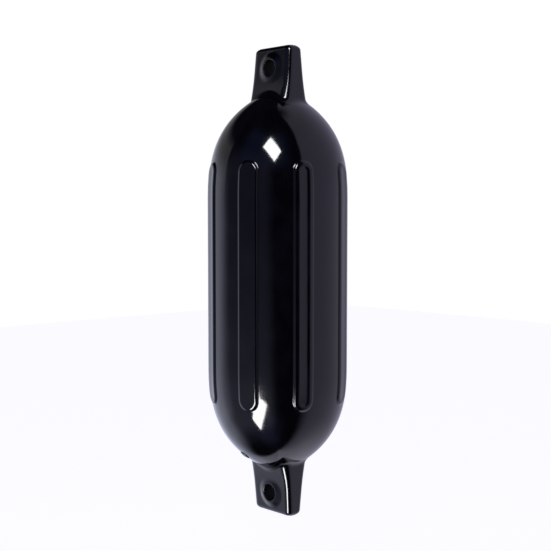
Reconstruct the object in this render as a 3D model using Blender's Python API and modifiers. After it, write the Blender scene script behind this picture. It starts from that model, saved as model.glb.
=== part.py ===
"""Twin-eye pneumatic boat fender, modelled in metres with +Z along its length.

The fender is a rotationally moulded vinyl shell with air inside. Its body is a round barrel
between two full domes, stiffened by long raised ribs. A solid eye for a rope stands on each
dome, and a rubber inflation valve sits in a moulded seat on the lower dome.
The origin is at the fender's middle, and the rope holes run along Y.
"""

import math

import bmesh
import bpy
from mathutils import Matrix, Vector

# Body of the shell
BODY_RADIUS = 0.0825
BARREL_HALF = 0.0937
DOME_HEIGHT = 0.1330
DOME_RISE_POWER = 2.87
DOME_REACH_POWER = 1.40
WALL = 0.0040
BODY_STEPS = 48
CAVITY_STEPS = 32
DOME_ROWS = 12
CAVITY_ROWS = 8
SLOPE_STEP = 0.0005

# Long raised ribs round the barrel
RIB_COUNT = 8
RIB_LENGTH = 0.2820
RIB_WIDTH = 0.0236
RIB_RISE = 0.0020
RIB_RIM = 0.0040
RIB_DISH = 0.0006
RIB_DISH_SLOPE = 0.0034
RIB_ROOT = 0.0016
RIB_FLANK_POINTS = 3
RIB_END_POINTS = 7
RIB_ROW_SPACING = 0.0400

# Rope eyes, one on each dome
EYE_REACH = 0.0503
EYE_TIP_WIDTH = 0.0612
EYE_TIP_THICKNESS = 0.0204
EYE_ROOT_WIDTH = 0.0648
EYE_ROOT_THICKNESS = 0.0320
EYE_CORNER_RADIUS = 0.0062
EYE_TIP_ROUND = 0.0060
EYE_TIP_WIDTH_PULL = 0.0062
EYE_TIP_THICKNESS_PULL = 0.0060
EYE_SINK = 0.0120
EYE_CORNER_POINTS = 4
EYE_ROWS = 4
EYE_TIP_ROWS = 4

# Rope hole and the rounded collar on both of its faces
ROPE_HOLE_RADIUS = 0.0100
ROPE_HOLE_FROM_TIP = 0.0254
COLLAR_WIDTH = 0.0052
COLLAR_PROUD = 0.0030
COLLAR_ROUND = 0.0026
LIP_RADIUS = 0.0022
HOLE_STEPS = 28
ROUND_POINTS = 3

# Inflation valve on the lower dome
VALVE_AZIMUTH = math.radians(-15.0)
VALVE_OFFSET = 0.0445
VALVE_STEM_RADIUS = 0.0020
VALVE_HEAD_RADIUS = 0.0028
VALVE_HEAD_DEPTH = 0.0014
VALVE_HEAD_ROUND = 0.0005
VALVE_BULB_RADIUS = 0.0040
VALVE_BULB_LENGTH = 0.0040
VALVE_NEEDLE_RADIUS = 0.0005
VALVE_NEEDLE_DEPTH = 0.0015
VALVE_RECESS = 0.0006
VALVE_SEAT_WIDTH = 0.0030
VALVE_SEAT_PROUD = 0.0008
VALVE_BOSS_WIDTH = 0.0050
VALVE_BOSS_DEPTH = 0.0085
VALVE_GAP = 0.0003
VALVE_STEPS = 24
VALVE_ROUND_POINTS = 2

# How far a joined solid or a cutter runs past the surface that it meets
OVERRUN = 0.0030

# Plain colours, gloss and the angle past which an edge stays crisp
VINYL_COLOUR = (0.0030, 0.0030, 0.0060, 1.0)
VINYL_ROUGHNESS = 0.12
RUBBER_COLOUR = (0.0100, 0.0100, 0.0110, 1.0)
RUBBER_ROUGHNESS = 0.5
CRISP_ANGLE = 40.0


def clear_scene():
    """Remove whatever the file holds."""
    for item in list(bpy.data.objects):
        bpy.data.objects.remove(item, do_unlink=True)


def new_collection(name):
    """Return a new collection in the scene."""
    group = bpy.data.collections.new(name)
    bpy.context.scene.collection.children.link(group)
    return group


def new_material(name, colour, roughness):
    """Return a plain Principled material."""
    material = bpy.data.materials.new(name)
    material.use_nodes = True
    shader = material.node_tree.nodes["Principled BSDF"]
    shader.inputs["Base Color"].default_value = colour
    shader.inputs["Roughness"].default_value = roughness
    shader.inputs["Metallic"].default_value = 0.0
    return material


def object_from_bmesh(name, bm, group):
    """Turn a bmesh into an object in a collection."""
    mesh = bpy.data.meshes.new(name)
    bm.to_mesh(mesh)
    bm.free()
    item = bpy.data.objects.new(name, mesh)
    group.objects.link(item)
    return item


def as_cutter(item):
    """Show a solid that only shapes another one as a wire."""
    item.hide_render = True
    item.display_type = "WIRE"
    return item


def turned(name, profile, steps, group):
    """Turn a profile of (radius, height) points, listed from top to bottom, about Z."""
    bm = bmesh.new()
    points = [bm.verts.new((radius, 0.0, height)) for radius, height in profile]
    for first, second in zip(points, points[1:]):
        bm.edges.new((first, second))
    item = object_from_bmesh(name, bm, group)
    screw = item.modifiers.new("turn", "SCREW")
    screw.angle = math.tau
    screw.steps = steps
    screw.render_steps = steps
    screw.use_merge_vertices = True
    screw.merge_threshold = 0.00001
    screw.use_smooth_shade = False
    return item


def boolean(item, operation, other):
    """Join another solid to this one, or cut it away."""
    modifier = item.modifiers.new(operation.lower(), "BOOLEAN")
    modifier.operation = operation
    modifier.solver = "EXACT"
    modifier.object = other


def smooth(item, degrees):
    """Shade the round faces smooth and keep the edges crisp."""
    item.data.shade_smooth()
    item.data.set_sharp_from_angle(angle=math.radians(degrees))


def arc(centre_x, centre_y, radius, start, end, count):
    """Return points on an arc between two angles in degrees."""
    points = []
    for index in range(count + 1):
        angle = math.radians(start + (end - start) * index / count)
        points.append((centre_x + radius * math.cos(angle), centre_y + radius * math.sin(angle)))
    return points


def radius_at(height, inset=0.0):
    """Return the body's radius at a height, or that of the surface inset from it."""
    rise = max(0.0, abs(height) - BARREL_HALF) / (DOME_HEIGHT - inset)
    share = max(0.0, 1.0 - rise**DOME_RISE_POWER)
    return (BODY_RADIUS - inset) * share ** (1.0 / DOME_REACH_POWER)


def dome_height_at(radius, inset=0.0):
    """Return the upper dome's height at a distance from the axis, or that of the inset surface."""
    share = max(0.0, 1.0 - (radius / (BODY_RADIUS - inset)) ** DOME_REACH_POWER)
    return BARREL_HALF + (DOME_HEIGHT - inset) * share ** (1.0 / DOME_RISE_POWER)


def body_slope(height):
    """Return the outward normal of the body as (radial, axial) parts."""
    fall = (radius_at(height + SLOPE_STEP) - radius_at(height - SLOPE_STEP)) / (2.0 * SLOPE_STEP)
    length = math.hypot(1.0, fall)
    return 1.0 / length, -fall / length


def body_profile(inset, rows):
    """Return the body's half outline, from the top of one dome to the foot of the other."""
    half = []
    for index in range(rows + 1):
        radius = (BODY_RADIUS - inset) * math.sin(0.5 * math.pi * index / rows)
        half.append((radius, dome_height_at(radius, inset)))
    return half + [(radius, -height) for radius, height in reversed(half)]


def stadium(length, width):
    """Return the points of a flat outline with straight sides and round ends."""
    end = 0.5 * width
    middle = 0.5 * length - end
    upper = arc(0.0, middle, end, 0.0, 180.0, RIB_END_POINTS)
    lower = arc(0.0, -middle, end, 180.0, 360.0, RIB_END_POINTS)
    return upper + lower


def flat_rib(length, width, sink, steps):
    """Build one rib flat: X across it, Y out of the body, Z along it.

    Each step is (inset, height): how far the next ring lies inside the last, and its height.
    """
    bm = bmesh.new()
    outline = [bm.verts.new((x, -sink, z)) for x, z in stadium(length, width)]
    face = bm.faces.new(outline)
    raised = bmesh.ops.extrude_face_region(bm, geom=[face])
    lifted = [part for part in raised["geom"] if isinstance(part, bmesh.types.BMVert)]
    bmesh.ops.translate(bm, verts=lifted, vec=(0.0, sink, 0.0))
    top = next(part for part in raised["geom"] if isinstance(part, bmesh.types.BMFace))
    bmesh.ops.recalc_face_normals(bm, faces=bm.faces[:])
    height = 0.0
    for inset, next_height in steps:
        bmesh.ops.inset_region(
            bm,
            faces=[top],
            thickness=inset,
            depth=next_height - height,
            use_even_offset=True,
            use_boundary=True,
        )
        height = next_height
    cuts = max(1, math.ceil(length / RIB_ROW_SPACING))
    for index in range(1, cuts):
        level = length * (index / cuts - 0.5)
        bisect_all(bm, (0.0, 0.0, level), (0.0, 0.0, 1.0))
    bisect_all(bm, (0.0, 0.0, 0.0), (1.0, 0.0, 0.0))
    bmesh.ops.triangulate(bm, faces=bm.faces[:])
    return bm


def bisect_all(bm, point, normal):
    """Cut edges where a plane crosses the whole mesh."""
    bmesh.ops.bisect_plane(
        bm, geom=bm.verts[:] + bm.edges[:] + bm.faces[:], plane_co=point, plane_no=normal
    )


def wrap_on_body(bm, azimuth, inset):
    """Bend a flat rib onto the body, centred on an azimuth counted from -Y."""
    for vert in bm.verts:
        radial, axial = body_slope(vert.co.z)
        radius = radius_at(vert.co.z, inset)
        angle = azimuth + vert.co.x / (BODY_RADIUS - inset)
        reach = radius + radial * vert.co.y
        vert.co = Vector((
            reach * math.sin(angle),
            -reach * math.cos(angle),
            vert.co.z + axial * vert.co.y,
        ))


def build_ribs(name, length, width, inset, root, steps, group):
    """Build the ring of ribs as separate closed solids in one object."""
    joined = bmesh.new()
    pitch = math.tau / RIB_COUNT
    for index in range(RIB_COUNT):
        rib = flat_rib(length, width, root, steps)
        wrap_on_body(rib, pitch * (index + 0.5), inset)
        mesh = bpy.data.meshes.new("rib")
        rib.to_mesh(mesh)
        rib.free()
        joined.from_mesh(mesh)
        bpy.data.meshes.remove(mesh)
    bmesh.ops.recalc_face_normals(joined, faces=joined.faces[:])
    return as_cutter(object_from_bmesh(name, joined, group))


def outer_rib_steps():
    """Return the rib's cross-section: round flank, crest, then a shallow dish."""
    flank = []
    reached = 0.0
    for index in range(1, RIB_FLANK_POINTS + 1):
        angle = 0.5 * math.pi * index / RIB_FLANK_POINTS
        across = RIB_RIM * (1.0 - math.cos(angle))
        flank.append((across - reached, RIB_RISE * math.sin(angle)))
        reached = across
    dish = [
        (0.5 * RIB_DISH_SLOPE, RIB_RISE - 0.5 * RIB_DISH),
        (0.5 * RIB_DISH_SLOPE, RIB_RISE - RIB_DISH),
    ]
    return flank + dish


def section_outline(half_width, half_thickness):
    """Return the points of an eye's section, a rectangle with round corners."""
    radius = EYE_CORNER_RADIUS
    points = []
    corners = ((1, 1, 0.0), (-1, 1, 90.0), (-1, -1, 180.0), (1, -1, 270.0))
    for sign_x, sign_y, start in corners:
        points += arc(
            sign_x * (half_width - radius),
            sign_y * (half_thickness - radius),
            radius,
            start,
            start + 90.0,
            EYE_CORNER_POINTS,
        )
    return points


def eye_tip():
    """Return the height of the upper eye's tip."""
    return BARREL_HALF + DOME_HEIGHT + EYE_REACH


def eye_half_sizes(height):
    """Return the upper eye's half width and half thickness at a height."""
    share = (eye_tip() - height) / EYE_REACH
    width = EYE_TIP_WIDTH + (EYE_ROOT_WIDTH - EYE_TIP_WIDTH) * share
    thickness = EYE_TIP_THICKNESS + (EYE_ROOT_THICKNESS - EYE_TIP_THICKNESS) * share
    return 0.5 * width, 0.5 * thickness


def eye_sections():
    """Return the eye's sections from root to tip as (height, half width, half thickness)."""
    foot = dome_height_at(0.5 * EYE_ROOT_WIDTH) - EYE_SINK
    shoulder = eye_tip() - EYE_TIP_ROUND
    sections = []
    for index in range(EYE_ROWS):
        height = foot + (shoulder - foot) * index / EYE_ROWS
        sections.append((height, *eye_half_sizes(height)))
    for index in range(EYE_TIP_ROWS + 1):
        angle = 0.5 * math.pi * index / EYE_TIP_ROWS
        pull = 1.0 - math.cos(angle)
        height = shoulder + EYE_TIP_ROUND * math.sin(angle)
        half_width, half_thickness = eye_half_sizes(height)
        sections.append((
            height,
            half_width - EYE_TIP_WIDTH_PULL * pull,
            half_thickness - EYE_TIP_THICKNESS_PULL * pull,
        ))
    return sections


def add_eye(bm, sign):
    """Build one eye by stretching its root section outwards through the others."""
    sections = eye_sections()
    first_height, width, thickness = sections[0]
    verts = [
        bm.verts.new((x, y, sign * first_height)) for x, y in section_outline(width, thickness)
    ]
    face = bm.faces.new(verts)
    root = face
    for height, next_width, next_thickness in sections[1:]:
        moved = bmesh.ops.extrude_face_region(bm, geom=[face])
        if face is not root:
            bmesh.ops.delete(bm, geom=[face], context="FACES_ONLY")
        face = next(part for part in moved["geom"] if isinstance(part, bmesh.types.BMFace))
        for vert in face.verts:
            vert.co.x *= next_width / width
            vert.co.y *= next_thickness / thickness
            vert.co.z = sign * height
        width, thickness = next_width, next_thickness


def build_eyes(group):
    """Build both eyes as separate closed solids in one object."""
    bm = bmesh.new()
    for sign in (1, -1):
        add_eye(bm, sign)
    bmesh.ops.recalc_face_normals(bm, faces=bm.faces[:])
    return as_cutter(object_from_bmesh("eye_blanks", bm, group))


def hole_height():
    """Return the height of the upper rope hole's axis."""
    return eye_tip() - ROPE_HOLE_FROM_TIP


def collar_half_length():
    """Return the distance from the eye's middle to a collar's crest."""
    return eye_half_sizes(hole_height())[1] + COLLAR_PROUD


def collar_profile():
    """Return half the outline of the collars, a round-shouldered plug through the eye."""
    outer = ROPE_HOLE_RADIUS + COLLAR_WIDTH
    half = collar_half_length()
    shoulder = arc(outer - COLLAR_ROUND, half - COLLAR_ROUND, COLLAR_ROUND, 90.0, 0.0, ROUND_POINTS)
    lower = [(radius, -height) for radius, height in reversed(shoulder)]
    return [(0.0, half)] + shoulder + lower + [(0.0, -half)]


def hole_profile():
    """Return the outline of the rope hole's cutter, flared at both lips."""
    half = collar_half_length()
    centre = ROPE_HOLE_RADIUS + LIP_RADIUS
    lip = arc(centre, half - LIP_RADIUS, LIP_RADIUS, 90.0, 180.0, ROUND_POINTS)
    lower = [(radius, -height) for radius, height in reversed(lip)]
    end = half + OVERRUN
    return [(0.0, end), (centre, end)] + lip + lower + [(centre, -end), (0.0, -end)]


def lay_across(item, sign):
    """Turn a shape made about Z onto a rope hole's axis."""
    item.rotation_euler = (math.radians(90.0), 0.0, 0.0)
    item.location = (0.0, 0.0, sign * hole_height())
    return item


def valve_matrix():
    """Return the valve's place: +Z out of the lower dome, the origin on its surface."""
    height = -dome_height_at(VALVE_OFFSET)
    radial, axial = body_slope(height)
    around = Vector((math.sin(VALVE_AZIMUTH), -math.cos(VALVE_AZIMUTH), 0.0))
    point = around * VALVE_OFFSET + Vector((0.0, 0.0, height))
    outward = around * radial + Vector((0.0, 0.0, axial))
    return Matrix.Translation(point) @ outward.to_track_quat("Z", "Y").to_matrix().to_4x4()


def head_floor():
    """Return the depth of the valve recess's floor."""
    return VALVE_RECESS + VALVE_HEAD_DEPTH + VALVE_GAP


def build_valve_seat(group):
    """Build the raised ring round the valve's mouth."""
    outer = VALVE_HEAD_RADIUS + VALVE_GAP + VALVE_SEAT_WIDTH
    crest = arc(
        outer - VALVE_SEAT_PROUD, 0.0, VALVE_SEAT_PROUD, 90.0, 0.0, ROUND_POINTS
    )
    profile = [(0.0, VALVE_SEAT_PROUD)] + crest + [(outer, -0.5 * WALL), (0.0, -0.5 * WALL)]
    return as_cutter(turned("valve_seat_ring", profile, VALVE_STEPS, group))


def build_valve_boss(group):
    """Build the thick pad that carries the valve inside the shell."""
    outer = VALVE_STEM_RADIUS + VALVE_GAP + VALVE_BOSS_WIDTH
    profile = [(0.0, OVERRUN), (outer, OVERRUN), (outer, -VALVE_BOSS_DEPTH), (0.0, -VALVE_BOSS_DEPTH)]
    return as_cutter(turned("valve_boss", profile, VALVE_STEPS, group))


def build_valve_bore(group):
    """Build the cutter for the valve's recess and its bore into the air chamber."""
    head = VALVE_HEAD_RADIUS + VALVE_GAP
    stem = VALVE_STEM_RADIUS + VALVE_GAP
    top = VALVE_SEAT_PROUD + OVERRUN
    foot = -VALVE_BOSS_DEPTH - OVERRUN
    profile = [
        (0.0, top),
        (head, top),
        (head, -head_floor()),
        (stem, -head_floor()),
        (stem, foot),
        (0.0, foot),
    ]
    return as_cutter(turned("valve_bore", profile, VALVE_STEPS, group))


def build_valve_plug(group):
    """Build the rubber plug: a flush head, a stem and a bulb that holds it from inside."""
    face = -VALVE_RECESS
    bulb_top = -VALVE_BOSS_DEPTH - VALVE_GAP
    bulb_foot = bulb_top - VALVE_BULB_LENGTH
    head_edge = arc(
        VALVE_HEAD_RADIUS - VALVE_HEAD_ROUND,
        face - VALVE_HEAD_ROUND,
        VALVE_HEAD_ROUND,
        90.0,
        0.0,
        VALVE_ROUND_POINTS,
    )
    profile = [
        (0.0, face - VALVE_NEEDLE_DEPTH),
        (VALVE_NEEDLE_RADIUS, face - VALVE_NEEDLE_DEPTH),
        (VALVE_NEEDLE_RADIUS, face),
    ]
    profile += head_edge
    profile += [
        (VALVE_HEAD_RADIUS, face - VALVE_HEAD_DEPTH),
        (VALVE_STEM_RADIUS, face - VALVE_HEAD_DEPTH),
        (VALVE_STEM_RADIUS, bulb_top),
        (VALVE_BULB_RADIUS, bulb_top),
        (VALVE_STEM_RADIUS, bulb_foot),
        (0.0, bulb_foot),
    ]
    return turned("valve_plug", profile, VALVE_STEPS, group)


def build_cavity(group, boss):
    """Build the air chamber, with the hollows that the ribs leave in an even wall."""
    cavity = as_cutter(turned("air_chamber", body_profile(WALL, CAVITY_ROWS), CAVITY_STEPS, group))
    narrowing = 0.5 * RIB_RIM
    hollows = build_ribs(
        "rib_hollows",
        RIB_LENGTH - 2.0 * narrowing,
        RIB_WIDTH - 2.0 * narrowing,
        WALL,
        RIB_ROOT,
        [(RIB_RIM, RIB_RISE - RIB_DISH)],
        group,
    )
    boolean(cavity, "UNION", hollows)
    boolean(cavity, "DIFFERENCE", boss)
    return cavity


def build_shell(parts, cutters):
    """Build the moulded shell: body, ribs, eyes and collars, then its holes and air chamber."""
    shell = turned("fender_shell", body_profile(0.0, DOME_ROWS), BODY_STEPS, parts)
    ribs = build_ribs(
        "rib_blanks", RIB_LENGTH, RIB_WIDTH, 0.0, RIB_ROOT, outer_rib_steps(), cutters
    )
    boolean(shell, "UNION", ribs)
    boolean(shell, "UNION", build_eyes(cutters))
    place = valve_matrix()
    seat = build_valve_seat(cutters)
    boss = build_valve_boss(cutters)
    bore = build_valve_bore(cutters)
    for item in (seat, boss, bore):
        item.matrix_world = place
    boolean(shell, "UNION", seat)
    for sign, name in ((1, "upper"), (-1, "lower")):
        collar = turned(f"{name}_collar", collar_profile(), HOLE_STEPS, cutters)
        boolean(shell, "UNION", as_cutter(lay_across(collar, sign)))
    for sign, name in ((1, "upper"), (-1, "lower")):
        hole = turned(f"{name}_rope_hole", hole_profile(), HOLE_STEPS, cutters)
        boolean(shell, "DIFFERENCE", as_cutter(lay_across(hole, sign)))
    boolean(shell, "DIFFERENCE", build_cavity(cutters, boss))
    boolean(shell, "DIFFERENCE", bore)
    return shell


def main():
    """Build the fender."""
    clear_scene()
    parts = new_collection("pneumatic_fender")
    cutters = new_collection("fender_cutters")
    shell = build_shell(parts, cutters)
    plug = build_valve_plug(parts)
    plug.matrix_world = valve_matrix()
    shell.data.materials.append(new_material("glossy_vinyl", VINYL_COLOUR, VINYL_ROUGHNESS))
    plug.data.materials.append(new_material("valve_rubber", RUBBER_COLOUR, RUBBER_ROUGHNESS))
    for item in (shell, plug):
        smooth(item, CRISP_ANGLE)


main()
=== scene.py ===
"""Looks of a twin-eye pneumatic boat fender.

The moulded vinyl shell is modelled as one smooth skin: a ring of vertices is extruded row by row
from the fender's waist up over the ribs, the dome and the collared rope eye, then mirrored. The
rope holes, valve seat and air chamber are joined and cut as turned solids. The rubber valve keeps
its CAD shape. All sizes are in metres, in the CAD model's frame: +Z along the fender, rope holes
along Y.
"""

import logging
import math
from dataclasses import dataclass, field
from enum import Enum

import bmesh
import bpy
import numpy as np
from mathutils import Matrix, Vector


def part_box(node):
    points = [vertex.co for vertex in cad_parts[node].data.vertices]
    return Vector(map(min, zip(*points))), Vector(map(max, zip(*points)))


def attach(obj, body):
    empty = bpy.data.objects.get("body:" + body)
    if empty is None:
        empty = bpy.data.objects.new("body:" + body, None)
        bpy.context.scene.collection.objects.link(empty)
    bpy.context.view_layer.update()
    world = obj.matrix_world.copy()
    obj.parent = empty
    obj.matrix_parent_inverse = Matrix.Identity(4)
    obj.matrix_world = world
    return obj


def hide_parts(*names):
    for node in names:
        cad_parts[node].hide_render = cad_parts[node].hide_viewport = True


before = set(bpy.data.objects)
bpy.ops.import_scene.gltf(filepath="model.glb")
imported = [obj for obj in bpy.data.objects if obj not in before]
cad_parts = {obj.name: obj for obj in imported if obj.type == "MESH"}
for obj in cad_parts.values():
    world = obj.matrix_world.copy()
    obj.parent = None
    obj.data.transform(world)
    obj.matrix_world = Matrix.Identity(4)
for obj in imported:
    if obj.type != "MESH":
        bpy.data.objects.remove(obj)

LOG = logging.getLogger("fender")
MM = 0.001

Outline = list[tuple[float, float]]


class BooleanKind(Enum):
    """How one closed shape acts on another."""

    JOIN = "UNION"
    CUT = "DIFFERENCE"


def linear(hex_colour: str) -> tuple[float, float, float, float]:
    """Turn an sRGB hex colour into linear light.

    Args:
        hex_colour: six hex digits after a hash sign.

    Returns:
        Red, green, blue and an alpha of 1.
    """
    parts = []
    for start in (1, 3, 5):
        value = int(hex_colour[start : start + 2], 16) / 255.0
        parts.append(value / 12.92 if value <= 0.04045 else ((value + 0.055) / 1.055) ** 2.4)
    return (parts[0], parts[1], parts[2], 1.0)


def add_node(tree: bpy.types.NodeTree, kind: str, links: dict | None = None, **settings) -> bpy.types.Node:
    """Add a node with its settings and what feeds it.

    Args:
        tree: the node tree that gets the node.
        kind: the node's type name.
        links: input name or number to a value, or to an output socket that feeds it.
        settings: properties of the node itself.

    Returns:
        The new node.
    """
    node = tree.nodes.new(kind)
    for name, value in settings.items():
        setattr(node, name, value)
    for name, value in (links or {}).items():
        socket = node.inputs[name]
        if isinstance(value, bpy.types.NodeSocket):
            tree.links.new(value, socket)
        else:
            socket.default_value = value
    return node


def new_material(name: str) -> tuple[bpy.types.Material, bpy.types.NodeTree]:
    """Return a new material and its empty node tree."""
    material = bpy.data.materials.new(name)
    material.use_nodes = True
    material.node_tree.nodes.clear()
    return material, material.node_tree


def noise(
    tree: bpy.types.NodeTree, place: bpy.types.NodeSocket, size_mm: float, detail: float
) -> bpy.types.NodeSocket:
    """Return a noise whose patches are about a size across."""
    links = {"Vector": place, "Scale": 1.0 / (size_mm * MM), "Detail": detail}
    return add_node(tree, "ShaderNodeTexNoise", links).outputs["Fac"]


def bump(
    tree: bpy.types.NodeTree,
    height: bpy.types.NodeSocket,
    depth_mm: float,
    under: bpy.types.NodeSocket | None = None,
) -> bpy.types.NodeSocket:
    """Return a normal raised by a pattern.

    Args:
        tree: the material's node tree.
        height: the pattern, from 0 to 1.
        depth_mm: the relief of its full range.
        under: the normal of a coarser relief that it lies on.

    Returns:
        The normal's socket.
    """
    links = {"Strength": 1.0, "Distance": depth_mm * MM, "Height": height}
    if under is not None:
        links["Normal"] = under
    return add_node(tree, "ShaderNodeBump", links).outputs["Normal"]


def deselect_all() -> None:
    """Leave nothing selected, in object mode."""
    if bpy.context.object and bpy.context.object.mode != "OBJECT":
        bpy.ops.object.mode_set(mode="OBJECT")
    bpy.ops.object.select_all(action="DESELECT")


def make_active(item: bpy.types.Object) -> None:
    """Select one object alone."""
    deselect_all()
    item.select_set(True)
    bpy.context.view_layer.objects.active = item


def apply_modifier(item: bpy.types.Object, name: str) -> None:
    """Apply one of an object's modifiers."""
    make_active(item)
    bpy.ops.object.modifier_apply(modifier=name)


def apply_place(item: bpy.types.Object) -> None:
    """Move an object's place into its mesh."""
    make_active(item)
    bpy.ops.object.transform_apply(location=True, rotation=True, scale=True)


def combine(item: bpy.types.Object, other: bpy.types.Object, kind: BooleanKind) -> None:
    """Join another shape to this one or cut it away, and remove the other.

    Args:
        item: the shape that stays.
        other: the shape that acts on it.
        kind: join or cut.
    """
    modifier = item.modifiers.new("combine", "BOOLEAN")
    modifier.operation = kind.value
    modifier.solver = "EXACT"
    modifier.object = other
    apply_modifier(item, modifier.name)
    bpy.data.objects.remove(other, do_unlink=True)


def finish_normals(item: bpy.types.Object, degrees: float) -> None:
    """Shade an object smooth, with edges sharper than an angle kept crisp."""
    make_active(item)
    bpy.ops.object.shade_smooth_by_angle(angle=math.radians(degrees))


def arc(centre: tuple[float, float], radius: float, start: float, end: float, count: int) -> Outline:
    """Return points on an arc.

    Args:
        centre: the arc's centre.
        radius: its radius.
        start: first angle, in degrees.
        end: last angle, in degrees.
        count: the number of steps between them.

    Returns:
        The points, first and last included.
    """
    angles = [math.radians(start + (end - start) * index / count) for index in range(count + 1)]
    return [(centre[0] + radius * math.cos(a), centre[1] + radius * math.sin(a)) for a in angles]


def turn(name: str, outline: Outline, steps: int) -> bpy.types.Object:
    """Draw an outline by extruding one vertex from point to point, and spin it about Z.

    Args:
        name: the new object's name.
        outline: (radius, height) points from the top of the axis to its foot.
        steps: the number of steps in a full turn.

    Returns:
        The closed turned object.
    """
    deselect_all()
    bpy.ops.mesh.primitive_plane_add(size=MM)
    item = bpy.context.object
    item.name = name
    bpy.ops.object.mode_set(mode="EDIT")
    bpy.ops.mesh.select_all(action="SELECT")
    bpy.ops.mesh.merge(type="CENTER")
    bpy.ops.mesh.select_mode(type="VERT")
    bpy.ops.mesh.select_all(action="SELECT")
    last = outline[0]
    bpy.ops.transform.translate(value=(last[0], 0.0, last[1]))
    for radius, height in outline[1:]:
        step = (radius - last[0], 0.0, height - last[1])
        bpy.ops.mesh.extrude_vertices_move(TRANSFORM_OT_translate={"value": step})
        last = (radius, height)
    bpy.ops.mesh.select_all(action="SELECT")
    bpy.ops.mesh.spin(steps=steps, angle=math.tau, center=(0.0, 0.0, 0.0), axis=(0.0, 0.0, 1.0))
    bpy.ops.mesh.select_all(action="SELECT")
    bpy.ops.mesh.remove_doubles(threshold=0.001 * MM)
    bpy.ops.mesh.dissolve_degenerate(threshold=0.001 * MM)
    bpy.ops.mesh.normals_make_consistent(inside=False)
    bpy.ops.object.mode_set(mode="OBJECT")
    return item


def smooth_step(value: np.ndarray) -> np.ndarray:
    """Return 0 below 0, 1 above 1 and a smooth rise between them."""
    share = np.clip(value, 0.0, 1.0)
    return share * share * (3.0 - 2.0 * share)


@dataclass
class BodyForm:
    """The round body: a straight barrel between two full domes."""

    radius: float = 82.5 * MM
    barrel_half: float = 93.7 * MM
    dome_height: float = 133.0 * MM
    rise_power: float = 2.87
    reach_power: float = 1.40

    def radius_at(self, height: np.ndarray) -> np.ndarray:
        """Return the body's radius at heights above its middle."""
        rise = np.maximum(0.0, np.abs(height) - self.barrel_half) / self.dome_height
        share = np.maximum(0.0, 1.0 - rise**self.rise_power)
        return self.radius * share ** (1.0 / self.reach_power)

    def height_at(self, radius: np.ndarray) -> np.ndarray:
        """Return the upper dome's height at distances from the axis."""
        share = np.maximum(0.0, 1.0 - (radius / self.radius) ** self.reach_power)
        return self.barrel_half + self.dome_height * share ** (1.0 / self.rise_power)

    def normal_at(self, height: float) -> tuple[float, float]:
        """Return the outward normal at a height as (radial, axial) parts."""
        step = 0.1 * MM
        ends = self.radius_at(np.array([height - step, height + step]))
        fall = float(ends[1] - ends[0]) / (2.0 * step)
        length = math.hypot(1.0, fall)
        return 1.0 / length, -fall / length


@dataclass
class RibForm:
    """The raised ribs: long rounds with a soft flank, a crest and a shallow dish.

    The dish falls gently from one long side and steeply from the other.
    """

    count: int = 8
    length: float = 284.2 * MM
    width: float = 25.8 * MM
    rise: float = 2.0 * MM
    flank: float = 3.2 * MM
    dish: float = 0.5 * MM
    gentle_start: float = 4.4 * MM
    gentle_slope: float = 8.4 * MM
    steep_start: float = 5.6 * MM
    steep_slope: float = 3.5 * MM

    def relief(self, across: np.ndarray, height: float) -> np.ndarray:
        """Return how far a rib stands out of the body.

        Args:
            across: distances round the body from the rib's middle line.
            height: the height above the fender's middle.

        Returns:
            The relief at each distance.
        """
        end_centre = 0.5 * (self.length - self.width)
        past_end = max(0.0, abs(height) - end_centre)
        out = np.hypot(across, past_end)
        inside = 0.5 * self.width - out
        steepness = 0.5 + 0.5 * across / np.maximum(out, 0.001 * MM)
        start = self.gentle_start + (self.steep_start - self.gentle_start) * steepness
        slope = self.gentle_slope + (self.steep_slope - self.gentle_slope) * steepness
        raised = self.rise * smooth_step(inside / self.flank)
        return raised - self.dish * smooth_step((inside - start) / slope)


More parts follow.
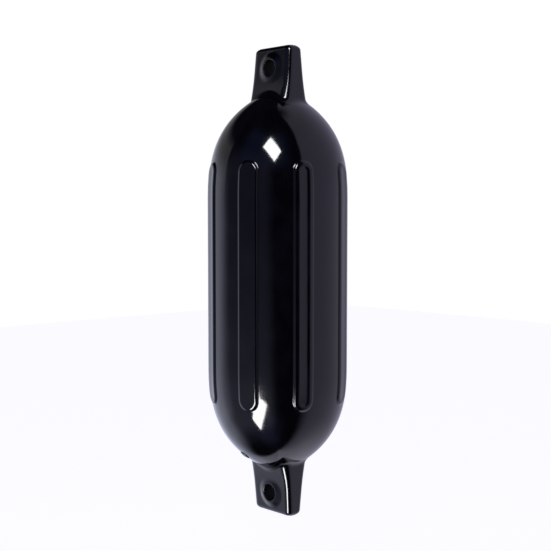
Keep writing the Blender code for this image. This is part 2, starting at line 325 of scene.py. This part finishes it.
@dataclass
class EyeForm:
    """A solid rope eye: a flat lug that spreads into the dome, with a collared hole."""

    tip: float
    tip_half_width: float = 30.6 * MM
    tip_half_thickness: float = 10.2 * MM
    width_taper: float = 0.035
    thickness_taper: float = 0.080
    corner: float = 6.4 * MM
    root_corner: float = 10.0 * MM
    root_swell: float = 4.1 * MM
    root_height: float = 214.0 * MM
    root_length: float = 34.0 * MM
    tip_round: float = 6.0 * MM
    tip_pull_width: float = 6.2 * MM
    tip_pull_thickness: float = 6.8 * MM
    fillet_spread: float = 6.5 * MM
    fillet_climb: float = 5.0 * MM
    hole_from_tip: float = 25.4 * MM
    hole_radius: float = 9.8 * MM
    dull_margin: float = 0.4 * MM
    lip_round: float = 1.0 * MM
    lip_step: float = 0.04 * MM
    collar_proud: float = 2.1 * MM
    collar_crest: float = 10.5 * MM
    collar_foot: float = 19.5 * MM
    corner_share: float = 0.8
    search_reach: float = 0.2
    search_steps: int = 40

    def half_sizes(self, height: np.ndarray) -> tuple[np.ndarray, np.ndarray]:
        """Return the lug's half width and half thickness at heights."""
        below = self.tip - height
        swell = self.root_swell * self.root_share(height)
        half_width = self.tip_half_width + self.width_taper * below
        return half_width, self.tip_half_thickness + self.thickness_taper * below + swell

    def root_share(self, height: np.ndarray) -> np.ndarray:
        """Return 0 on the lug's straight part and up to 1 where it spreads into the dome."""
        return np.clip(1.0 - (height - self.root_height) / self.root_length, 0.0, 1.0) ** 2

    def reach(
        self, azimuth: np.ndarray, half_width: np.ndarray, half_thickness: np.ndarray, corner: np.ndarray
    ) -> np.ndarray:
        """Return how far a rectangle with round corners reaches from the axis.

        Args:
            azimuth: directions counted from -Y towards +X.
            half_width: half sizes along X.
            half_thickness: half sizes along Y.
            corner: the corners' radii.

        Returns:
            The distance to the outline in each direction.
        """
        side = np.abs(np.sin(azimuth))
        front = np.abs(np.cos(azimuth))
        low = np.zeros_like(azimuth)
        high = np.full_like(azimuth, self.search_reach)
        corner = np.minimum(corner, self.corner_share * half_thickness)
        for _ in range(self.search_steps):
            middle = 0.5 * (low + high)
            out_x = middle * side - (half_width - corner)
            out_y = middle * front - (half_thickness - corner)
            outside = np.hypot(np.maximum(out_x, 0.0), np.maximum(out_y, 0.0))
            distance = outside + np.minimum(np.maximum(out_x, out_y), 0.0) - corner
            low = np.where(distance < 0.0, middle, low)
            high = np.where(distance < 0.0, high, middle)
        return 0.5 * (low + high)

    def wall_reach(self, azimuth: np.ndarray, height: np.ndarray) -> np.ndarray:
        """Return how far the lug's wall reaches from the axis at heights."""
        half_width, half_thickness = self.half_sizes(height)
        corner = self.corner + (self.root_corner - self.corner) * self.root_share(height)
        return self.reach(azimuth, half_width, half_thickness, corner)

    def hole_height(self) -> float:
        """Return the height of the rope hole's axis."""
        return self.tip - self.hole_from_tip

    def dull_radius(self) -> float:
        """Return how far from the hole's axis the core pin leaves the vinyl dull."""
        return self.hole_radius + self.dull_margin

    def collar_half(self) -> float:
        """Return the distance from the lug's middle plane to a collar's crest."""
        return float(self.half_sizes(np.array([self.hole_height()]))[1][0]) + self.collar_proud

    def raise_collars(self, points: np.ndarray) -> np.ndarray:
        """Swell a row of the lug's points into the soft collars round the rope hole.

        Args:
            points: the row's points on the plain lug.

        Returns:
            The row's points, level with the crest beside the hole.
        """
        out = np.hypot(points[:, 0], points[:, 2] - self.hole_height())
        share = smooth_step((self.collar_foot - out) / (self.collar_foot - self.collar_crest))
        crest = np.sign(points[:, 1]) * self.collar_half()
        raised = points.copy()
        raised[:, 1] += share * (crest - points[:, 1])
        return raised


@dataclass
class ValveForm:
    """The valve's seat in the lower dome, round the rubber plug."""

    azimuth: float = math.radians(-15.0)
    offset: float = 44.5 * MM
    recess_radius: float = 3.1 * MM
    recess_depth: float = 2.3 * MM
    bore_radius: float = 2.3 * MM
    seat_width: float = 3.0 * MM
    seat_proud: float = 0.8 * MM
    mouth_round: float = 0.4 * MM
    boss_radius: float = 7.3 * MM
    boss_depth: float = 8.5 * MM

    def place(self, body: BodyForm) -> Matrix:
        """Return the seat's place: +Z out of the dome, the origin on its surface."""
        height = -float(body.height_at(np.array([self.offset]))[0])
        radial, axial = body.normal_at(height)
        around = Vector((math.sin(self.azimuth), -math.cos(self.azimuth), 0.0))
        point = around * self.offset + Vector((0.0, 0.0, height))
        outward = around * radial + Vector((0.0, 0.0, axial))
        return Matrix.Translation(point) @ outward.to_track_quat("Z", "Y").to_matrix().to_4x4()


@dataclass
class FenderShell:
    """The whole moulded shell, built as one skin and then cut."""

    body: BodyForm
    ribs: RibForm
    eye: EyeForm
    valve: ValveForm
    wall: float = 4.0 * MM
    rib_columns: list[float] = field(
        default_factory=lambda: [
            -1.6, -0.8, -0.35, 0.0, 0.35, 0.75, 1.3, 2.1, 3.1, 4.4, 6.0, 7.8, 9.8, 11.8
        ]
    )
    gap_columns: int = 11
    barrel_rows: int = 11
    rib_end_rows: int = 28
    dome_rows: int = 26
    blend_rows: int = 9
    fillet_rows: int = 12
    lug_rows: int = 46
    tip_rows: int = 8
    blend_radius: float = 46.0 * MM
    rib_end_share: float = 0.62
    rib_end_margin: float = 1.6 * MM
    turn_steps: int = 72
    chamber_rows: int = 12
    pad_steps: int = 32
    valve_steps: int = 48
    overrun: float = 3.0 * MM
    crisp_degrees: float = 32.0

    def column_azimuths(self) -> np.ndarray:
        """Return the columns' azimuths from -Y, drawn together at each rib's edges."""
        half = [0.5 * self.ribs.width - inset * MM for inset in self.rib_columns]
        rib = sorted({round(value, 7) for value in half} | {round(-value, 7) for value in half})
        pitch = math.tau * self.body.radius / self.ribs.count
        room = pitch - (rib[-1] - rib[0])
        gap = [rib[-1] + room * (index + 1) / (self.gap_columns + 1) for index in range(self.gap_columns)]
        stations = np.array(rib + gap) / self.body.radius
        starts = (np.arange(self.ribs.count) + 0.5) * math.tau / self.ribs.count
        return np.sort(np.mod((starts[:, None] + stations[None, :]).ravel(), math.tau))

    def body_row(self, azimuth: np.ndarray, height: float) -> np.ndarray:
        """Return one row of points on the body, ribs included.

        Args:
            azimuth: the columns' azimuths.
            height: the row's height on the plain body.

        Returns:
            An array of points, one for each column.
        """
        pitch = math.tau / self.ribs.count
        turned = np.mod(azimuth, pitch) - 0.5 * pitch
        relief = self.ribs.relief(turned * self.body.radius, height)
        radial, axial = self.body.normal_at(height)
        reach = float(self.body.radius_at(np.array([height]))[0]) + radial * relief
        level = height + axial * relief
        if height == 0.0:
            level = np.zeros_like(azimuth)
        return np.stack([reach * np.sin(azimuth), -reach * np.cos(azimuth), level], axis=1)

    def row_heights(self) -> list[float]:
        """Return the heights of the rows between the waist and the blend into the eye."""
        rib_end = 0.5 * self.ribs.length
        fine_start = rib_end - self.rib_end_share * self.ribs.width
        fine_end = rib_end + self.rib_end_margin
        blend_height = float(self.body.height_at(np.array([self.blend_radius]))[0])
        heights = list(np.linspace(0.0, fine_start, self.barrel_rows))
        heights += list(np.linspace(fine_start, fine_end, self.rib_end_rows))[1:]
        start = math.asin(float(self.body.radius_at(np.array([fine_end]))[0]) / self.body.radius)
        end = math.asin(self.blend_radius / self.body.radius)
        for index in range(1, self.dome_rows + 1):
            angle = start + (end - start) * index / self.dome_rows
            heights.append(float(self.body.height_at(np.array([self.body.radius * math.sin(angle)]))[0]))
        heights[-1] = blend_height
        return heights

    def eye_rows(self, azimuth: np.ndarray) -> list[np.ndarray]:
        """Return the rows from the dome's blend up to the eye's tip.

        Args:
            azimuth: the columns' azimuths.

        Returns:
            Arrays of points, one for each row.
        """
        eye, body = self.eye, self.body
        root_reach = np.zeros_like(azimuth)
        for _ in range(6):
            root_reach = eye.wall_reach(azimuth, body.height_at(root_reach))
        fold = body.height_at(root_reach)
        out_reach = root_reach + eye.fillet_spread
        up_height = fold + eye.fillet_climb
        up_reach = eye.wall_reach(azimuth, up_height)
        rows = []
        for index in range(1, self.blend_rows + 1):
            share = index / self.blend_rows
            reach = self.blend_radius + (out_reach - self.blend_radius) * share
            rows.append((reach, body.height_at(reach)))
        start = (out_reach, body.height_at(out_reach))
        for index in range(1, self.fillet_rows + 1):
            t = index / self.fillet_rows
            weights = ((1.0 - t) ** 2, 2.0 * t * (1.0 - t), t**2)
            reach = weights[0] * start[0] + weights[1] * root_reach + weights[2] * up_reach
            level = weights[0] * start[1] + weights[1] * fold + weights[2] * up_height
            rows.append((reach, level))
        shoulder = eye.tip - eye.tip_round
        for index in range(1, self.lug_rows + 1):
            level = up_height + (shoulder - up_height) * index / self.lug_rows
            rows.append((eye.wall_reach(azimuth, level), level))
        half_width, half_thickness = eye.half_sizes(np.full_like(azimuth, shoulder))
        for index in range(1, self.tip_rows + 1):
            angle = 0.5 * math.pi * index / self.tip_rows
            pull = 1.0 - math.cos(angle)
            reach = eye.reach(
                azimuth,
                half_width - eye.tip_pull_width * pull,
                half_thickness - eye.tip_pull_thickness * pull,
                np.full_like(azimuth, eye.corner),
            )
            rows.append((reach, np.full_like(azimuth, shoulder + eye.tip_round * math.sin(angle))))
        return [
            eye.raise_collars(np.stack([reach * np.sin(azimuth), -reach * np.cos(azimuth), level], axis=1))
            for reach, level in rows
        ]

    def extrude_skin(self) -> bpy.types.Object:
        """Extrude a ring from the waist to the tip of the upper eye, row by row.

        Returns:
            The open upper half of the skin.
        """
        azimuth = self.column_azimuths()
        deselect_all()
        bpy.ops.mesh.primitive_circle_add(
            vertices=len(azimuth), radius=self.body.radius, fill_type="NOTHING"
        )
        item = bpy.context.object
        item.name = "fender_shell_vinyl"
        bpy.ops.object.mode_set(mode="EDIT")
        bpy.ops.mesh.select_mode(type="VERT")
        bpy.ops.mesh.select_all(action="SELECT")
        heights = self.row_heights()
        rows = [self.body_row(azimuth, height) for height in heights] + self.eye_rows(azimuth)
        self.shape_ring(item, rows[0])
        for row in rows[1:]:
            bpy.ops.mesh.extrude_region_move(TRANSFORM_OT_translate={"value": (0.0, 0.0, MM)})
            self.shape_ring(item, row)
        bpy.ops.mesh.edge_face_add()
        bpy.ops.object.mode_set(mode="OBJECT")
        return item

    @staticmethod
    def shape_ring(item: bpy.types.Object, points: np.ndarray) -> None:
        """Move the selected ring of vertices to a row's points, in order round the axis.

        Args:
            item: the object in edit mode.
            points: the row's points in order of azimuth.
        """
        mesh = bmesh.from_edit_mesh(item.data)
        ring = [vert for vert in mesh.verts if vert.select]
        ring.sort(key=lambda vert: math.atan2(vert.co.x, -vert.co.y) % math.tau)
        if math.tau - math.atan2(ring[-1].co.x, -ring[-1].co.y) % math.tau < 1e-5:
            ring.insert(0, ring.pop())
        for vert, point in zip(ring, points):
            vert.co = Vector(point)
        bmesh.update_edit_mesh(item.data)

    def mirror_skin(self, item: bpy.types.Object) -> None:
        """Mirror the upper half to make the closed skin."""
        mirror = item.modifiers.new("mirror", "MIRROR")
        mirror.use_axis = (False, False, True)
        mirror.use_mirror_merge = True
        mirror.merge_threshold = 0.01 * MM
        apply_modifier(item, mirror.name)
        bpy.ops.object.mode_set(mode="EDIT")
        bpy.ops.mesh.select_all(action="SELECT")
        bpy.ops.mesh.normals_make_consistent(inside=False)
        bpy.ops.object.mode_set(mode="OBJECT")

    def rope_hole(self) -> bpy.types.Object:
        """Turn the cutter for a rope hole, flared at both lips."""
        eye = self.eye
        half = eye.collar_half() - eye.lip_step
        centre = eye.hole_radius + eye.lip_round
        lip = arc((centre, half - eye.lip_round), eye.lip_round, 90.0, 180.0, 8)
        lower = [(radius, -height) for radius, height in reversed(lip)]
        end = half + self.overrun
        outline = [(0.0, end), (centre, end)] + lip + lower + [(centre, -end), (0.0, -end)]
        return turn("rope_hole", outline, self.turn_steps)

    def cut_eyes(self, item: bpy.types.Object) -> None:
        """Cut the rope holes through both eyes."""
        for side in (1.0, -1.0):
            hole = self.rope_hole()
            hole.rotation_euler = (math.radians(90.0), 0.0, 0.0)
            hole.location = (0.0, 0.0, side * self.eye.hole_height())
            apply_place(hole)
            combine(item, hole, BooleanKind.CUT)

    def placed(self, item: bpy.types.Object) -> bpy.types.Object:
        """Move a shape made about Z to the valve's place."""
        item.matrix_world = self.valve.place(self.body)
        apply_place(item)
        return item

    def air_chamber(self) -> bpy.types.Object:
        """Turn the chamber inside the wall, less the thick pad behind the valve."""
        inner = BodyForm(
            self.body.radius - self.wall,
            self.body.barrel_half,
            self.body.dome_height - self.wall,
            self.body.rise_power,
            self.body.reach_power,
        )
        quarter = []
        for index in range(self.chamber_rows + 1):
            radius = inner.radius * math.sin(0.5 * math.pi * index / self.chamber_rows)
            quarter.append((radius, float(inner.height_at(np.array([radius]))[0])))
        outline = quarter + [(radius, -height) for radius, height in reversed(quarter)]
        chamber = turn("air_chamber", outline, self.turn_steps)
        valve = self.valve
        pad_outline = [
            (0.0, self.overrun),
            (valve.boss_radius, self.overrun),
            (valve.boss_radius, -valve.boss_depth),
            (0.0, -valve.boss_depth),
        ]
        combine(chamber, self.placed(turn("valve_pad", pad_outline, self.pad_steps)), BooleanKind.CUT)
        return chamber

    def cut_valve_seat(self, item: bpy.types.Object) -> None:
        """Raise the ring round the valve and cut its recess and bore."""
        valve = self.valve
        outer = valve.recess_radius + valve.seat_width
        crest = arc((outer - valve.seat_proud, 0.0), valve.seat_proud, 90.0, 0.0, 6)
        foot = -0.5 * self.wall
        ring = [(0.0, valve.seat_proud)] + crest + [(outer, foot), (0.0, foot)]
        combine(item, self.placed(turn("valve_ring", ring, self.valve_steps)), BooleanKind.JOIN)
        top = valve.seat_proud + self.overrun
        end = -valve.boss_depth - self.overrun
        edge = valve.mouth_round
        mouth = arc((valve.recess_radius + edge, valve.seat_proud - edge), edge, 90.0, 180.0, 4)
        bore = [(0.0, top), (valve.recess_radius + edge, top)] + mouth
        bore += [
            (valve.recess_radius, -valve.recess_depth),
            (valve.bore_radius, -valve.recess_depth),
            (valve.bore_radius, end),
            (0.0, end),
        ]
        combine(item, self.placed(turn("valve_bore", bore, self.valve_steps)), BooleanKind.CUT)

    def build(self) -> bpy.types.Object:
        """Build the finished shell.

        Returns:
            The shell's object, at the origin.
        """
        item = self.extrude_skin()
        self.mirror_skin(item)
        self.cut_eyes(item)
        combine(item, self.air_chamber(), BooleanKind.CUT)
        self.cut_valve_seat(item)
        finish_normals(item, self.crisp_degrees)
        return item


@dataclass(frozen=True)
class GlossyVinyl:
    """Plasticised PVC, rotationally moulded against polished steel.

    It gives a deep navy black with a sharp, slightly rippled gloss, faint streaks along the fender
    where it was drawn from the mould, and a little haze where hands and ropes have rubbed it. The
    core pins leave the rope holes dull.
    """

    bore_height: float
    bore_radius: float
    colour: str = "#07070d"
    haze_colour: str = "#10111a"
    ior: float = 1.53
    roughness: float = 0.075
    worn_roughness: float = 0.16
    bore_roughness: float = 0.55
    bore_specular: float = 0.15
    haze_mm: float = 40.0
    haze_start: float = 0.45
    haze_full: float = 0.75
    ripple_mm: float = 26.0
    ripple_depth_mm: float = 0.10
    fine_ripple_mm: float = 5.0
    fine_ripple_depth_mm: float = 0.012
    streak_mm: float = 4.0
    streak_length_mm: float = 80.0
    streak_depth_mm: float = 0.012

    def bore_share(self, tree: bpy.types.NodeTree, place: bpy.types.NodeSocket) -> bpy.types.NodeSocket:
        """Return 1 on the walls of the rope holes and 0 elsewhere.

        Args:
            tree: the material's node tree.
            place: the point on the object.

        Returns:
            The share's socket.
        """
        parts = add_node(tree, "ShaderNodeSeparateXYZ", {0: place}).outputs
        high = add_node(tree, "ShaderNodeMath", {0: parts["Z"]}, operation="ABSOLUTE").outputs[0]
        above = add_node(
            tree, "ShaderNodeMath", {0: high, 1: self.bore_height}, operation="SUBTRACT"
        ).outputs[0]
        flat = add_node(tree, "ShaderNodeCombineXYZ", {"X": parts["X"], "Y": above}).outputs[0]
        out = add_node(tree, "ShaderNodeVectorMath", {0: flat}, operation="LENGTH").outputs["Value"]
        return add_node(
            tree, "ShaderNodeMath", {0: out, 1: self.bore_radius}, operation="LESS_THAN"
        ).outputs[0]

    def build(self) -> bpy.types.Material:
        """Build the vinyl's material.

        Returns:
            The material.
        """
        material, tree = new_material("glossy_vinyl")
        place = add_node(tree, "ShaderNodeTexCoord").outputs["Object"]
        haze_share = add_node(
            tree,
            "ShaderNodeMapRange",
            {
                "Value": noise(tree, place, self.haze_mm, 5.0),
                "From Min": self.haze_start,
                "From Max": self.haze_full,
            },
        ).outputs["Result"]
        colour = add_node(
            tree,
            "ShaderNodeMix",
            {0: haze_share, 6: linear(self.colour), 7: linear(self.haze_colour)},
            data_type="RGBA",
        )
        roughness = add_node(
            tree,
            "ShaderNodeMapRange",
            {"Value": haze_share, "To Min": self.roughness, "To Max": self.worn_roughness},
        )
        stretch = (1.0, 1.0, self.streak_mm / self.streak_length_mm)
        drawn = add_node(tree, "ShaderNodeMapping", {"Vector": place, "Scale": stretch}).outputs["Vector"]
        normal = bump(tree, noise(tree, place, self.ripple_mm, 1.0), self.ripple_depth_mm)
        normal = bump(tree, noise(tree, place, self.fine_ripple_mm, 2.0), self.fine_ripple_depth_mm, normal)
        normal = bump(tree, noise(tree, drawn, self.streak_mm, 2.0), self.streak_depth_mm, normal)
        bore = self.bore_share(tree, place)
        dulled = add_node(
            tree,
            "ShaderNodeMix",
            {0: bore, 2: roughness.outputs["Result"], 3: self.bore_roughness},
            data_type="FLOAT",
        )
        specular = add_node(
            tree, "ShaderNodeMapRange", {"Value": bore, "To Min": 0.5, "To Max": self.bore_specular}
        )
        shader = add_node(
            tree,
            "ShaderNodeBsdfPrincipled",
            {
                "Base Color": colour.outputs[2],
                "Roughness": dulled.outputs[0],
                "Specular IOR Level": specular.outputs["Result"],
                "IOR": self.ior,
                "Metallic": 0.0,
                "Normal": normal,
            },
        )
        add_node(tree, "ShaderNodeOutputMaterial", {"Surface": shader.outputs["BSDF"]})
        return material


@dataclass(frozen=True)
class ValveRubber:
    """Moulded black rubber: a dull surface with a fine grain and a trace of bloom."""

    colour: str = "#141414"
    bloom_colour: str = "#232323"
    ior: float = 1.52
    roughness: float = 0.55
    grain_mm: float = 0.6
    grain_depth_mm: float = 0.03

    def build(self) -> bpy.types.Material:
        """Build the rubber's material.

        Returns:
            The material.
        """
        material, tree = new_material("valve_rubber")
        place = add_node(tree, "ShaderNodeTexCoord").outputs["Object"]
        grain = noise(tree, place, self.grain_mm, 3.0)
        colour = add_node(
            tree,
            "ShaderNodeMix",
            {0: grain, 6: linear(self.colour), 7: linear(self.bloom_colour)},
            data_type="RGBA",
        )
        shader = add_node(
            tree,
            "ShaderNodeBsdfPrincipled",
            {
                "Base Color": colour.outputs[2],
                "Roughness": self.roughness,
                "IOR": self.ior,
                "Normal": bump(tree, grain, self.grain_depth_mm),
            },
        )
        add_node(tree, "ShaderNodeOutputMaterial", {"Surface": shader.outputs["BSDF"]})
        return material


@dataclass(frozen=True)
class Card:
    """A soft-edged bright area of the studio, in degrees right of the camera and above the horizon."""

    left: float
    right: float
    bottom: float
    top: float
    colour: str
    level: float = 1.0
    side_softness: float = 8.0
    end_softness: float = 8.0


@dataclass(frozen=True)
class Softbox:
    """A rectangular lamp: where it hangs, where it faces and how bright it is.

    Its gloss level is what a mirror shows of it, where white is 1. Its matt level is what lights
    surfaces, and keeps them at about their written colours.
    """

    name: str
    turn: float
    rise: float
    size: tuple[float, float]
    roll: float
    swing: float = 0.0
    distance: float = 1.5
    gloss_level: float = 24.0
    matt_level: float = 5.0


STUDIO_CARDS = (
    Card(42, 220, -22, 50, "#aca8c2", 1.10, side_softness=2.5, end_softness=10),
    Card(43, 220, 50, 80, "#aeabc0", 0.98, side_softness=4, end_softness=10),
    Card(50, 220, -130, -22, "#aca8c2", 1.05, side_softness=14, end_softness=10),
    Card(100, 220, -130, 5, "#ffffff", 0.08, side_softness=25),
    Card(70, 220, -44, -16, "#f0f2ff", 0.10, side_softness=20, end_softness=10),
    Card(78, 220, -130, -46, "#f0f2ff", 0.60, side_softness=38, end_softness=16),
    Card(-220, -99, -50, 8, "#e2e6ff", 1.20, side_softness=14, end_softness=13),
    Card(-220, -97, 3, 29, "#ececf4", 0.40, side_softness=2, end_softness=6),
    Card(-220, -88, -30, -10, "#e2e6ff", 0.28, side_softness=6, end_softness=6),
    Card(-220, -146, -130, -50, "#e8eaff", 0.95, side_softness=7, end_softness=8),
    Card(-96, -14, -60, 24, "#c8c8ff", 0.16, side_softness=10, end_softness=14),
    Card(-94, -8, -48, -8, "#dfe6ff", 0.26, side_softness=10, end_softness=9),
    Card(-60, 4, -75, -36, "#aebcff", 0.16, side_softness=20, end_softness=10),
    Card(-70, 16, 18, 56, "#86a8ff", 0.16, side_softness=14, end_softness=9),
)

STUDIO_SOFTBOXES = (
    Softbox("key_softbox", -10.4, 39.7, (0.62, 0.39), -41.6, swing=-6.1),
    Softbox("low_softbox", -36.0, -36.7, (0.76, 0.50), 49.7, swing=45.2, distance=1.4),
)


@dataclass
class Studio:
    """The camera, the lamps, the surroundings and the floor."""

    azimuth: float = math.radians(47.0)
    distance: float = 1.2488
    height: float = 88.5 * MM
    pitch: float = math.radians(3.677)
    side_step: float = 2.92 * MM
    focal_pixels: float = 1050.0
    frame_pixels: float = 551.0
    floor_drop: float = 0.50
    floor_size: float = 12.0
    floor_colour: str = "#e6e6e8"
    floor_glow: float = 0.80
    dark_room: str = "#18171d"

    def across(self) -> Vector:
        """Return the horizontal direction towards the picture's right."""
        return Vector((math.cos(self.azimuth), math.sin(self.azimuth), 0.0))

    def towards_camera(self) -> Vector:
        """Return the horizontal direction from the fender to the camera."""
        return Vector((math.sin(self.azimuth), -math.cos(self.azimuth), 0.0))

    def direction(self, turn_degrees: float, rise_degrees: float) -> Vector:
        """Return a direction given as degrees right of the camera and above the horizon."""
        turned, rise = math.radians(turn_degrees), math.radians(rise_degrees)
        level = self.towards_camera() * math.cos(turned) + self.across() * math.sin(turned)
        return level * math.cos(rise) + Vector((0.0, 0.0, math.sin(rise)))

    def build_camera(self) -> None:
        """Place the camera at the photograph's viewpoint."""
        data = bpy.data.cameras.new("camera")
        data.sensor_width = 36.0
        data.lens = data.sensor_width * self.focal_pixels / self.frame_pixels
        camera = bpy.data.objects.new("camera", data)
        bpy.context.scene.collection.objects.link(camera)
        place = self.towards_camera() * self.distance - self.across() * self.side_step
        camera.location = place + Vector((0.0, 0.0, self.height))
        camera.rotation_euler = (math.radians(90.0) - self.pitch, 0.0, self.azimuth)
        bpy.context.scene.camera = camera

    def hang(self, softbox: Softbox) -> None:
        """Hang a softbox as a pair of lamps, one for gloss and one for matt light."""
        outward = self.direction(softbox.turn, softbox.rise)
        facing = outward.to_track_quat("Z", "Y").to_matrix().to_4x4()
        swing = Matrix.Rotation(math.radians(softbox.swing), 4, "Y")
        roll = Matrix.Rotation(math.radians(softbox.roll), 4, "Z")
        place = Matrix.Translation(outward * softbox.distance) @ facing @ swing @ roll
        for kind, level in (("gloss", softbox.gloss_level), ("matt", softbox.matt_level)):
            data = bpy.data.lights.new(f"{softbox.name}_{kind}", "AREA")
            data.shape = "RECTANGLE"
            data.size, data.size_y = softbox.size
            data.energy = level * math.pi * softbox.size[0] * softbox.size[1]
            lamp = bpy.data.objects.new(data.name, data)
            bpy.context.scene.collection.objects.link(lamp)
            lamp.matrix_world = place
            lamp.visible_camera = False
            lamp.visible_glossy = kind == "gloss"
            lamp.visible_diffuse = kind == "matt"

    def build_lamps(self) -> None:
        """Hang the softboxes."""
        for softbox in STUDIO_SOFTBOXES:
            self.hang(softbox)

    @staticmethod
    def edge(
        tree: bpy.types.NodeTree, angle: bpy.types.NodeSocket, start: float, end: float
    ) -> bpy.types.NodeSocket:
        """Return a smooth step of an angle, from 0 at the start to 1 at the end, in degrees."""
        return add_node(
            tree,
            "ShaderNodeMapRange",
            {"Value": angle, "From Min": math.radians(start), "From Max": math.radians(end)},
            interpolation_type="SMOOTHSTEP",
        ).outputs["Result"]

    def card_light(
        self, tree: bpy.types.NodeTree, card: Card, turned: bpy.types.NodeSocket, rise: bpy.types.NodeSocket
    ) -> bpy.types.NodeSocket:
        """Return a card's share of a direction.

        Args:
            tree: the world's node tree.
            card: the card.
            turned: the direction's angle right of the camera.
            rise: its angle above the horizon.

        Returns:
            The card's level there.
        """
        side, end = card.side_softness, card.end_softness
        edges = (
            self.edge(tree, turned, card.left - side, card.left + side),
            self.edge(tree, turned, card.right + side, card.right - side),
            self.edge(tree, rise, card.bottom - end, card.bottom + end),
            self.edge(tree, rise, card.top + end, card.top - end),
        )
        share = card.level
        for edge in edges:
            share = add_node(tree, "ShaderNodeMath", {0: share, 1: edge}, operation="MULTIPLY").outputs[0]
        return share

    def build_world(self) -> None:
        """Make the soft surroundings out of the cards, in a dark room."""
        world = bpy.data.worlds.new("studio")
        world.use_nodes = True
        bpy.context.scene.world = world
        tree = world.node_tree
        tree.nodes.clear()
        ray = add_node(tree, "ShaderNodeTexCoord").outputs["Generated"]
        across = add_node(
            tree, "ShaderNodeVectorMath", {0: ray, 1: self.across()}, operation="DOT_PRODUCT"
        ).outputs["Value"]
        front = add_node(
            tree, "ShaderNodeVectorMath", {0: ray, 1: self.towards_camera()}, operation="DOT_PRODUCT"
        ).outputs["Value"]
        height = add_node(tree, "ShaderNodeSeparateXYZ", {0: ray}).outputs["Z"]
        turned = add_node(tree, "ShaderNodeMath", {0: across, 1: front}, operation="ARCTAN2").outputs[0]
        rise = add_node(tree, "ShaderNodeMath", {0: height}, operation="ARCSINE").outputs[0]
        light = linear(self.dark_room)
        for card in STUDIO_CARDS:
            share = self.card_light(tree, card, turned, rise)
            light = add_node(
                tree,
                "ShaderNodeMix",
                {0: share, 6: light, 7: linear(card.colour)},
                data_type="RGBA",
                blend_type="ADD",
                clamp_factor=False,
            ).outputs[2]
        camera_ray = add_node(tree, "ShaderNodeLightPath").outputs["Is Camera Ray"]
        white = (1.0, 1.0, 1.0, 1.0)
        seen = add_node(
            tree, "ShaderNodeMix", {0: camera_ray, 6: light, 7: white}, data_type="RGBA"
        ).outputs[2]
        background = add_node(tree, "ShaderNodeBackground", {"Color": seen, "Strength": 1.0})
        add_node(tree, "ShaderNodeOutputWorld", {"Surface": background.outputs["Background"]})

    def build_floor(self, lowest: float) -> None:
        """Lay the pale floor under the hanging fender.

        Args:
            lowest: the height of the fender's lowest point.
        """
        deselect_all()
        bpy.ops.mesh.primitive_plane_add(
            size=self.floor_size, location=(0.0, 0.0, lowest - self.floor_drop)
        )
        floor = bpy.context.object
        floor.name = "studio_floor"
        apply_place(floor)
        material, tree = new_material("pale_floor")
        matt = add_node(tree, "ShaderNodeBsdfDiffuse", {"Color": linear(self.floor_colour)})
        path = add_node(tree, "ShaderNodeLightPath").outputs["Is Camera Ray"]
        glow = add_node(
            tree, "ShaderNodeMath", {0: path, 1: self.floor_glow}, operation="MULTIPLY"
        ).outputs[0]
        bright = add_node(tree, "ShaderNodeEmission", {"Color": (1.0, 1.0, 1.0, 1.0), "Strength": glow})
        both = add_node(tree, "ShaderNodeAddShader", {0: matt.outputs[0], 1: bright.outputs[0]})
        add_node(tree, "ShaderNodeOutputMaterial", {"Surface": both.outputs[0]})
        floor.data.materials.append(material)
        floor.visible_glossy = False


def dress(item: bpy.types.Object, material: bpy.types.Material) -> None:
    """Give an object one material."""
    item.data.materials.clear()
    item.data.materials.append(material)


def main() -> None:
    """Build the fender's looks round the CAD frame."""
    logging.basicConfig(level=logging.INFO, format="%(message)s")
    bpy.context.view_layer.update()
    low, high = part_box("fender_shell")
    scene = bpy.context.scene
    scene.view_settings.view_transform = "Standard"

    eye = EyeForm(tip=high.z)
    shell = FenderShell(BodyForm(), RibForm(), eye, ValveForm()).build()
    dress(shell, GlossyVinyl(eye.hole_height(), eye.dull_radius()).build())
    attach(shell, "root")
    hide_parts("fender_shell")
    LOG.info("fender shell: %d vertices", len(shell.data.vertices))

    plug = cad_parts["valve_plug"]
    dress(plug, ValveRubber().build())
    LOG.info("valve plug: rubber on the CAD node")

    studio = Studio()
    studio.build_camera()
    studio.build_lamps()
    studio.build_world()
    studio.build_floor(low.z)
    LOG.info("studio ready")


if __name__ == "__main__":
    main()
